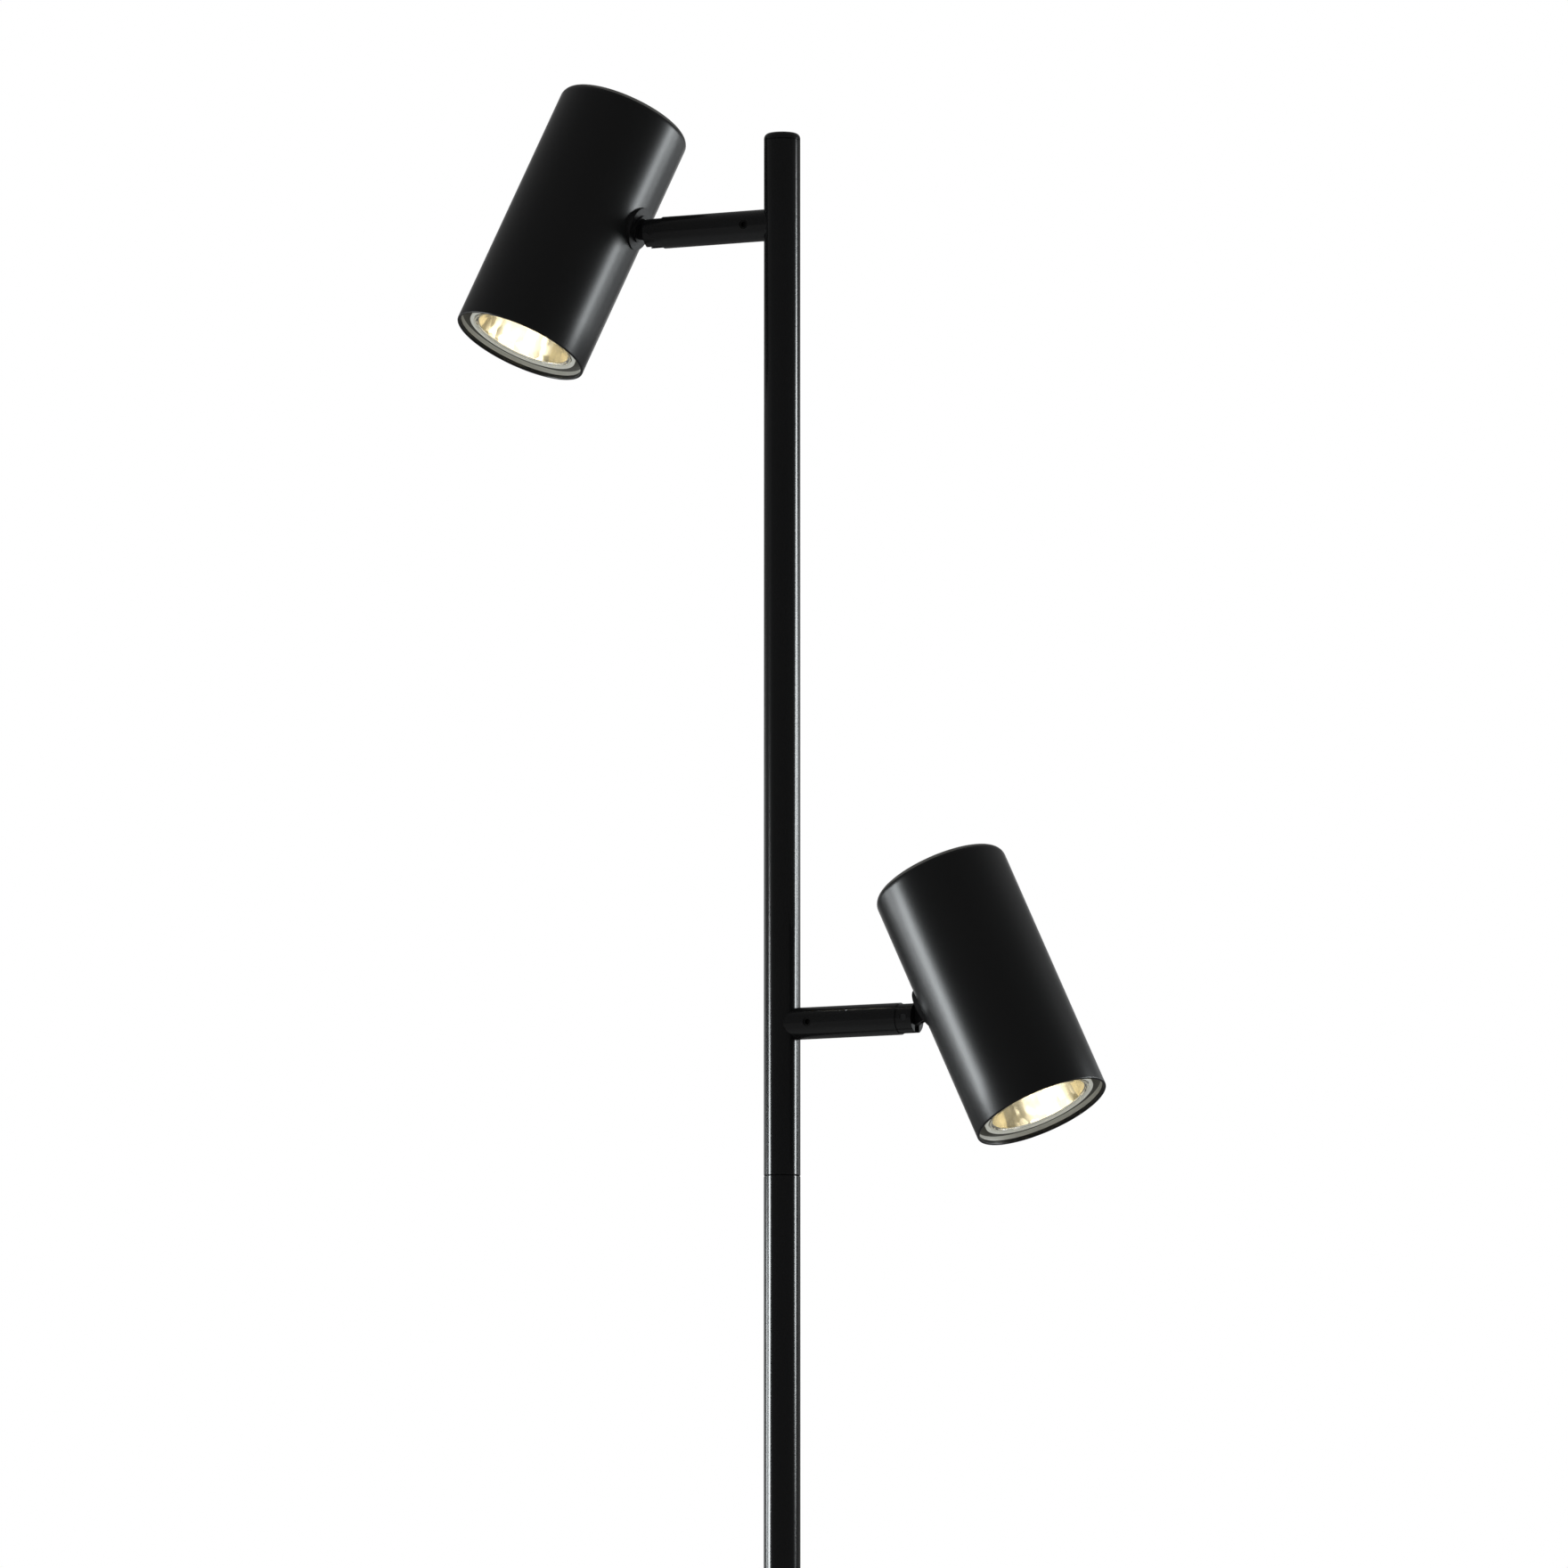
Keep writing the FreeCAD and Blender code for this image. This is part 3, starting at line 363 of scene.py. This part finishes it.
FINISHES = {
    "black_powder_coat": finish(
        "satin black powder coat", (0.0027, 0.0028, 0.0030), (0.0038, 0.0039, 0.0041),
        (0.30, 0.35), 1400, 18, (0.03, 0.00003),
    ),
    "smooth_black": finish(
        "smoother black powder coat", (0.0026, 0.0027, 0.0028), (0.0035, 0.0036, 0.0038),
        (0.155, 0.165), 300, 18, (0.002, 0.000001), Specular_IOR_Level=0.60,
    ),
    "screw_black": finish(
        "oiled screw", (0.025, 0.025, 0.025), (0.04, 0.04, 0.04),
        (0.25, 0.35), 1500, 300, (0.05, 0.00002), Metallic=1.0,
    ),
    # used on the shade's inner wall deeper than the pale band, where its grey is painted dimmer
    # lamplight
    "dull_steel": finish(
        "dulled steel inside", (0.10, 0.10, 0.095), (0.16, 0.155, 0.145),
        (0.50, 0.65), 1200, 150, (0.10, 0.00005), Metallic=0.6,
    ),
    "bare_steel": finish(
        "bare turned steel", (0.74, 0.73, 0.70), (0.84, 0.83, 0.80),
        (0.50, 0.60), 1500, 200, (0.08, 0.00004), Metallic=1.0,
    ),
    "iron_weight": finish(
        "sand-cast iron", (0.028, 0.027, 0.026), (0.06, 0.055, 0.05),
        (0.62, 0.85), 700, 60, (0.5, 0.0002), Metallic=0.6,
    ),
    "foam_pad": finish(
        "closed-cell foam", (0.012, 0.012, 0.012), (0.025, 0.025, 0.025),
        (0.85, 0.98), 1100, 40, (0.6, 0.0003),
    ),
    "black_rubber": finish(
        "black rubber", (0.012, 0.012, 0.012), (0.02, 0.02, 0.02),
        (0.55, 0.7), 900, 50, (0.15, 0.0001),
    ),
    "terminal_plastic": finish(
        "natural nylon", (0.62, 0.58, 0.48), (0.72, 0.68, 0.58),
        (0.4, 0.5), 800, 80, (0.05, 0.00005),
    ),
    "fibre": finish(
        "vulcanised fibre", (0.20, 0.05, 0.03), (0.30, 0.08, 0.05),
        (0.5, 0.65), 1600, 120, (0.15, 0.00005),
    ),
    "white_ceramic": finish(
        "glazed steatite", (0.68, 0.66, 0.61), (0.76, 0.74, 0.70),
        (0.18, 0.3), 500, 60, (0.04, 0.00005),
    ),
    # the glass's faint emission is painted light, the lamp's light showing through its glass
    "lamp_glass": finish(
        "pressed lamp glass", (0.10, 0.105, 0.10), (0.16, 0.165, 0.16),
        (0.12, 0.22), 500, 90, (0.04, 0.00004),
        Emission_Color=(1.0, 1.0, 0.87, 1.0), Emission_Strength=0.31,
    ),
    "lens_glass": finish(
        "clear lens", (0.96, 0.97, 0.97), (1.0, 1.0, 1.0),
        (0.05, 0.12), 600, 90, (0.10, 0.0001), Transmission_Weight=1.0, IOR=1.45,
    ),
    # the facets' emission, coloured for each head below, is a painted reflection of the lamp's
    # light
    "lamp_mirror": finish(
        "aluminised facets", (0.24, 0.21, 0.13), (0.34, 0.30, 0.20),
        (0.22, 0.30), 900, 160, (0.10, 0.0001), Metallic=1.0, Emission_Strength=1.0,
    ),
    "lamp_light": finish(
        "warm phosphor", (0.95, 0.80, 0.45), (1.0, 0.86, 0.52),
        (0.5, 0.6), 1200, 400, (0.05, 0.00005),
        Emission_Color=(1.0, 0.88, 0.64, 1.0), Emission_Strength=90.0,
    ),
    "nickel_plate": finish(
        "nickel plate", (0.55, 0.53, 0.49), (0.64, 0.62, 0.58),
        (0.2, 0.32), 1500, 100, (0.05, 0.00003), Metallic=1.0,
    ),
    "lead_insulation": finish(
        "lead insulation", (0.03, 0.03, 0.032), (0.045, 0.045, 0.048),
        (0.4, 0.5), 900, 80, (0.06, 0.00004),
    ),
    "zinc_plate": finish(
        "zinc plate", (0.48, 0.49, 0.50), (0.58, 0.59, 0.60),
        (0.3, 0.45), 1300, 150, (0.08, 0.00004), Metallic=1.0,
    ),
}


# colours and shape of the painted reflection of the lamp's light in the reflector's facets
PAINTED_REFLECTION_DIM = (0.30, 0.25, 0.13)
PAINTED_REFLECTION_BRIGHT = (3.6, 3.1, 2.0)
PAINTED_REFLECTION_RAGGED = 0.3  # how far the flecks move the band's edge either way
PAINTED_REFLECTION_EDGE = (0.0, 0.8)
FLECK_STRENGTH = (0.6, 1.15)
# how far each painted reflection band is turned from straight away from the camera, to the right,
# and how much it is narrowed
PAINTED_REFLECTION_SHIFT = {"upper": -0.15, "lower": 0.20}
PAINTED_REFLECTION_NARROWING = {"upper": 0.0, "lower": 0.15}


def make_painted_reflection_group():
    """A painted reflection of the lamp's light in a reflector's facets, given as emission: strong
    across the middle, where cos 2(t - turn) is high for the angle t round the lamp, weak at both
    sides, and different from fleck to fleck. Place is in the lamp's own frame."""
    group, given, result = new_group(
        "painted_facet_reflection",
        [
            ("Place", "NodeSocketVector", (0, 0, 0)),
            ("Turn", "NodeSocketFloat", 0.0),
            ("Narrowing", "NodeSocketFloat", 0.0),
            ("Fleck Scale", "NodeSocketFloat", 330.0),
        ],
        [("Light", "NodeSocketColor")],
    )
    links, nodes = group.links, group.nodes
    parts = nodes.new("ShaderNodeSeparateXYZ")
    links.new(given.outputs["Place"], parts.inputs[0])
    angle = add_math(group, "ARCTAN2", parts.outputs["Y"], parts.outputs["X"])
    turned = add_math(group, "SUBTRACT", angle, given.outputs["Turn"])
    lobe = add_math(group, "COSINE", add_math(group, "MULTIPLY", turned, 2.0))
    fleck = nodes.new("ShaderNodeTexVoronoi")
    links.new(given.outputs["Place"], fleck.inputs["Vector"])
    links.new(given.outputs["Fleck Scale"], fleck.inputs["Scale"])
    chance = nodes.new("ShaderNodeSeparateColor")
    links.new(fleck.outputs["Color"], chance.inputs[0])
    shift = add_range(group, chance.outputs["Green"], (0.0, 1.0), (-PAINTED_REFLECTION_RAGGED, PAINTED_REFLECTION_RAGGED))
    ragged = add_math(group, "ADD", lobe, shift)
    narrowed = add_math(group, "SUBTRACT", ragged, given.outputs["Narrowing"])
    band = add_range(group, narrowed, PAINTED_REFLECTION_EDGE, (0.0, 1.0))
    strength = add_range(group, chance.outputs["Red"], (0.1, 0.9), FLECK_STRENGTH)
    scaled = nodes.new("ShaderNodeVectorMath")
    scaled.operation = "SCALE"
    links.new(add_colour_mix(group, PAINTED_REFLECTION_DIM, PAINTED_REFLECTION_BRIGHT, band), scaled.inputs[0])
    links.new(strength, scaled.inputs["Scale"])
    links.new(scaled.outputs["Vector"], result.inputs["Light"])
    return group


PAINTED_FACET_REFLECTION = make_painted_reflection_group()


def reflector_with_painted_reflection(arm):
    """The facets' finish with their painted reflection of the lamp's light, its frame turned and
    moved into this head's.
    """
    material = FINISHES["lamp_mirror"].copy()
    material.name = f"{arm} lit facets"
    tree = material.node_tree
    origin, x, y, z = head_frame(arm)
    turn = Matrix((x, y, z))
    place = tree.nodes.new("ShaderNodeTexCoord")
    into_head = tree.nodes.new("ShaderNodeMapping")
    into_head.inputs["Rotation"].default_value = turn.to_euler()
    into_head.inputs["Location"].default_value = turn @ Vector(-origin * MM)
    facet_reflection_paint = tree.nodes.new("ShaderNodeGroup")
    facet_reflection_paint.node_tree = PAINTED_FACET_REFLECTION
    # the painted reflection's band faces away from the camera, turned sideways by the shift
    away = FORWARD + RIGHTWARDS * PAINTED_REFLECTION_SHIFT[arm]
    facet_reflection_paint.inputs["Turn"].default_value = math.atan2(away.dot(Vector(y)), away.dot(Vector(x)))
    facet_reflection_paint.inputs["Narrowing"].default_value = PAINTED_REFLECTION_NARROWING[arm]
    tree.links.new(place.outputs["Object"], into_head.inputs["Vector"])
    tree.links.new(into_head.outputs["Vector"], facet_reflection_paint.inputs["Place"])
    shader = tree.nodes["Principled BSDF"]
    tree.links.new(facet_reflection_paint.outputs["Light"], shader.inputs["Emission Color"])
    return material


SLOT_OF_NODE = {part["node"]: part["material_slot"] for part in frame["record"]["subparts"]}
for node_name, node in frame["nodes"].items():
    node.data.materials.clear()
    node.data.materials.append(FINISHES[SLOT_OF_NODE[node_name]])
for arm in SIDE:
    facets = frame["nodes"][f"{arm}_lamp_reflector"].data
    facets.materials.clear()
    facets.materials.append(reflector_with_painted_reflection(arm))
    frame["nodes"][f"{arm}_grub_screw"].data.materials[0] = FINISHES["screw_black"]


def finish_inner_wall_with_painted_lamplight(shade, place):
    """The shade's inner wall is coated at the rim, bare in a band below it and dull further in;
    the pale band and the dimmer grey further in are painted light from the lamp falling on the
    wall. A face's finish follows from the depth of its centre under the rim and its radius."""
    coated, bare, dull = range(3)
    origin, _x, _y, axis = place
    faces = shade.data.polygons
    centres = np.empty(len(faces) * 3)
    faces.foreach_get("center", centres)
    offset = centres.reshape(-1, 3) / MM - origin
    height = offset @ axis
    radius = np.linalg.norm(offset - height[:, None] * axis, axis=1)
    depth = SHADE_LENGTH - height
    inside = radius < SHADE_RADIUS - SHADE_WALL / 2
    band_start, band_end = PAINTED_LAMPLIT_BAND
    deeper = [inside & (depth > band_end), inside & (depth > band_start)]
    kind = np.select(deeper, [dull, bare], coated)
    shade.data.materials.append(FINISHES["bare_steel"])
    shade.data.materials.append(FINISHES["dull_steel"])
    faces.foreach_set("material_index", kind.astype(np.int32))


def dress(piece, body, slot, node_name, coat=None):
    """Puts a piece in its node's place, in the slot's finish or in another coat."""
    piece.data.materials.clear()
    piece.data.materials.append(FINISHES[coat or slot])
    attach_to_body(piece, body)
    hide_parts(node_name)


# ================= pieces =================
for part, start in TUBE_STARTS.items():
    tube = turned_surface(f"{part}_pole_tube_skin", tube_profile(), raised(start), TUBE_SEGMENTS)
    dress(tube, "stand", "black_powder_coat", f"pole_tube_{part}", "smooth_black")
for arm in SIDE:
    shade = turned_surface(f"{arm}_shade_skin", shade_profile(), head_frame(arm))
    dress(shade, f"{arm}_head", "black_powder_coat", f"{arm}_shade")
    finish_inner_wall_with_painted_lamplight(shade, head_frame(arm))
    lens = turned_surface(f"{arm}_lens_skin", lens_profile(), head_frame(arm))
    dress(lens, f"{arm}_head", "lens_glass", f"{arm}_lamp_lens")
SMOOTHED = ["pole_cap", "base_cover"]
for arm in SIDE:
    SMOOTHED += [f"{arm}_arm_tube", f"{arm}_arm_fork", f"{arm}_rosette", f"{arm}_knuckle"]
for node_name in SMOOTHED:
    body = frame["nodes"][node_name]["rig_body"]
    skin = smooth_copy(node_name, f"{node_name}_skin")
    smoother = node_name == "pole_cap" or "_arm_" in node_name
    dress(skin, body, SLOT_OF_NODE[node_name], node_name, "smooth_black" if smoother else None)


# ================= studio =================
SOFTBOX_DISTANCE = 1.5
COOL_WHITE = (0.93, 0.98, 1.0)
# name, angle from the camera, height, width, tallness, watts
SOFTBOXES = [
    ("right softbox", 97, 1.24, 0.72, 0.24, 8.6),
    ("right edge strip", 114, 1.26, 0.20, 0.28, 1.5),
    ("right rear panel", 134, 1.24, 0.80, 0.34, 0.5),
    ("left softbox", -88, 0.88, 0.56, 0.30, 11.2),
    ("left edge strip", -110, 0.93, 0.20, 0.34, 1.8),
    ("left rear panel", -132, 0.92, 0.80, 0.40, 0.7),
]
FLOOR_SIZE = 80.0
FLOOR_GAP = 0.0005
FLOOR_PALE = (0.86, 0.86, 0.86)
FLOOR_IN_GLOSS = (0.13, 0.13, 0.13)
FLOOR_ROUGHNESS = 0.8
PLAIN_STRENGTH = 0.90  # the world's light on matt surfaces
BEHIND_FROM = 0.85  # cosine to the camera's forward above which gloss sees white
ROOM_FROM = -0.3
ROOM_STRENGTH = (0.06, 0.20)


def make_camera():
    data = bpy.data.cameras.new("camera")
    camera = bpy.data.objects.new("camera", data)
    bpy.context.scene.collection.objects.link(camera)
    data.lens = CAMERA_LENS
    data.sensor_width = SENSOR_WIDTH
    data.clip_start, data.clip_end = SIGHT_RANGE
    camera.location = FORWARD * -CAMERA_DISTANCE + Vector((0, 0, CAMERA_HEIGHT))
    pitch = math.radians(CAMERA_PITCH)
    yaw = math.radians(CAMERA_YAW)
    level = FORWARD * math.cos(yaw) + RIGHTWARDS * math.sin(yaw)
    sight = level * math.cos(pitch) + Vector((0, 0, 1)) * math.sin(pitch)
    camera.rotation_mode = "QUATERNION"
    camera.rotation_quaternion = sight.to_track_quat("-Z", "Y")
    bpy.context.scene.camera = camera


def softbox(name, azimuth, height, width, tall, watts):
    """A rectangular light, placed by its angle from the camera about the pole and its height."""
    turn = math.radians(azimuth)
    out = FORWARD * -math.cos(turn) + RIGHTWARDS * math.sin(turn)
    data = bpy.data.lights.new(name, "AREA")
    data.shape = "RECTANGLE"
    data.size = width
    data.size_y = tall
    data.energy = watts
    data.color = COOL_WHITE
    light = bpy.data.objects.new(name, data)
    bpy.context.scene.collection.objects.link(light)
    light.location = out * SOFTBOX_DISTANCE + Vector((0, 0, height))
    light.rotation_mode = "QUATERNION"
    light.rotation_quaternion = (-out).to_track_quat("-Z", "Z")


def make_floor():
    """A plain pale floor, dimmer in gloss so that it doesn't grey the arms from below."""
    bpy.ops.mesh.primitive_plane_add(size=FLOOR_SIZE, location=(0, 0, -FLOOR_GAP))
    floor = bpy.context.object
    floor.name = "studio_floor"
    material = bpy.data.materials.new("pale floor")
    material.use_nodes = True
    tree = material.node_tree
    path = tree.nodes.new("ShaderNodeLightPath")
    paint = add_colour_mix(tree, FLOOR_PALE, FLOOR_IN_GLOSS, path.outputs["Is Glossy Ray"])
    shader = tree.nodes["Principled BSDF"]
    tree.links.new(paint, shader.inputs["Base Color"])
    shader.inputs["Roughness"].default_value = FLOOR_ROUGHNESS
    floor.data.materials.append(material)


def make_world():
    """White to the eye and through glass; in gloss it is white behind the lamp and falls to a
    dim room on the camera's side; to matt surfaces it is an even, plain light."""
    world = bpy.data.worlds.new("studio")
    bpy.context.scene.world = world
    world.use_nodes = True
    tree = world.node_tree
    tree.nodes.clear()
    output = tree.nodes.new("ShaderNodeOutputWorld")
    path = tree.nodes.new("ShaderNodeLightPath")
    place = tree.nodes.new("ShaderNodeTexCoord")
    facing = tree.nodes.new("ShaderNodeVectorMath")
    facing.operation = "DOT_PRODUCT"
    facing.inputs[1].default_value = FORWARD
    tree.links.new(place.outputs["Generated"], facing.inputs[0])
    behind = add_range(tree, facing.outputs["Value"], (BEHIND_FROM, 1.0), (0.0, 1.0))
    room = add_range(
        tree, facing.outputs["Value"], (ROOM_FROM, BEHIND_FROM), ROOM_STRENGTH, "LINEAR"
    )
    surround = add_math(tree, "MAXIMUM", behind, room)
    seen = add_math(
        tree, "MAXIMUM", path.outputs["Is Camera Ray"], path.outputs["Is Transmission Ray"]
    )
    plain = tree.nodes.new("ShaderNodeBackground")
    plain.inputs["Strength"].default_value = PLAIN_STRENGTH
    gloss = tree.nodes.new("ShaderNodeBackground")
    tree.links.new(surround, gloss.inputs["Strength"])
    white = tree.nodes.new("ShaderNodeBackground")
    white.inputs["Strength"].default_value = 1.0
    for background in (plain, gloss, white):
        background.inputs["Color"].default_value = (1, 1, 1, 1)
    first = tree.nodes.new("ShaderNodeMixShader")
    second = tree.nodes.new("ShaderNodeMixShader")
    tree.links.new(path.outputs["Is Glossy Ray"], first.inputs[0])
    tree.links.new(plain.outputs[0], first.inputs[1])
    tree.links.new(gloss.outputs[0], first.inputs[2])
    tree.links.new(seen, second.inputs[0])
    tree.links.new(first.outputs[0], second.inputs[1])
    tree.links.new(white.outputs[0], second.inputs[2])
    tree.links.new(second.outputs[0], output.inputs["Surface"])


make_camera()
make_floor()
make_world()
for box in SOFTBOXES:
    softbox(*box)
bpy.context.scene.view_settings.view_transform = "Standard"
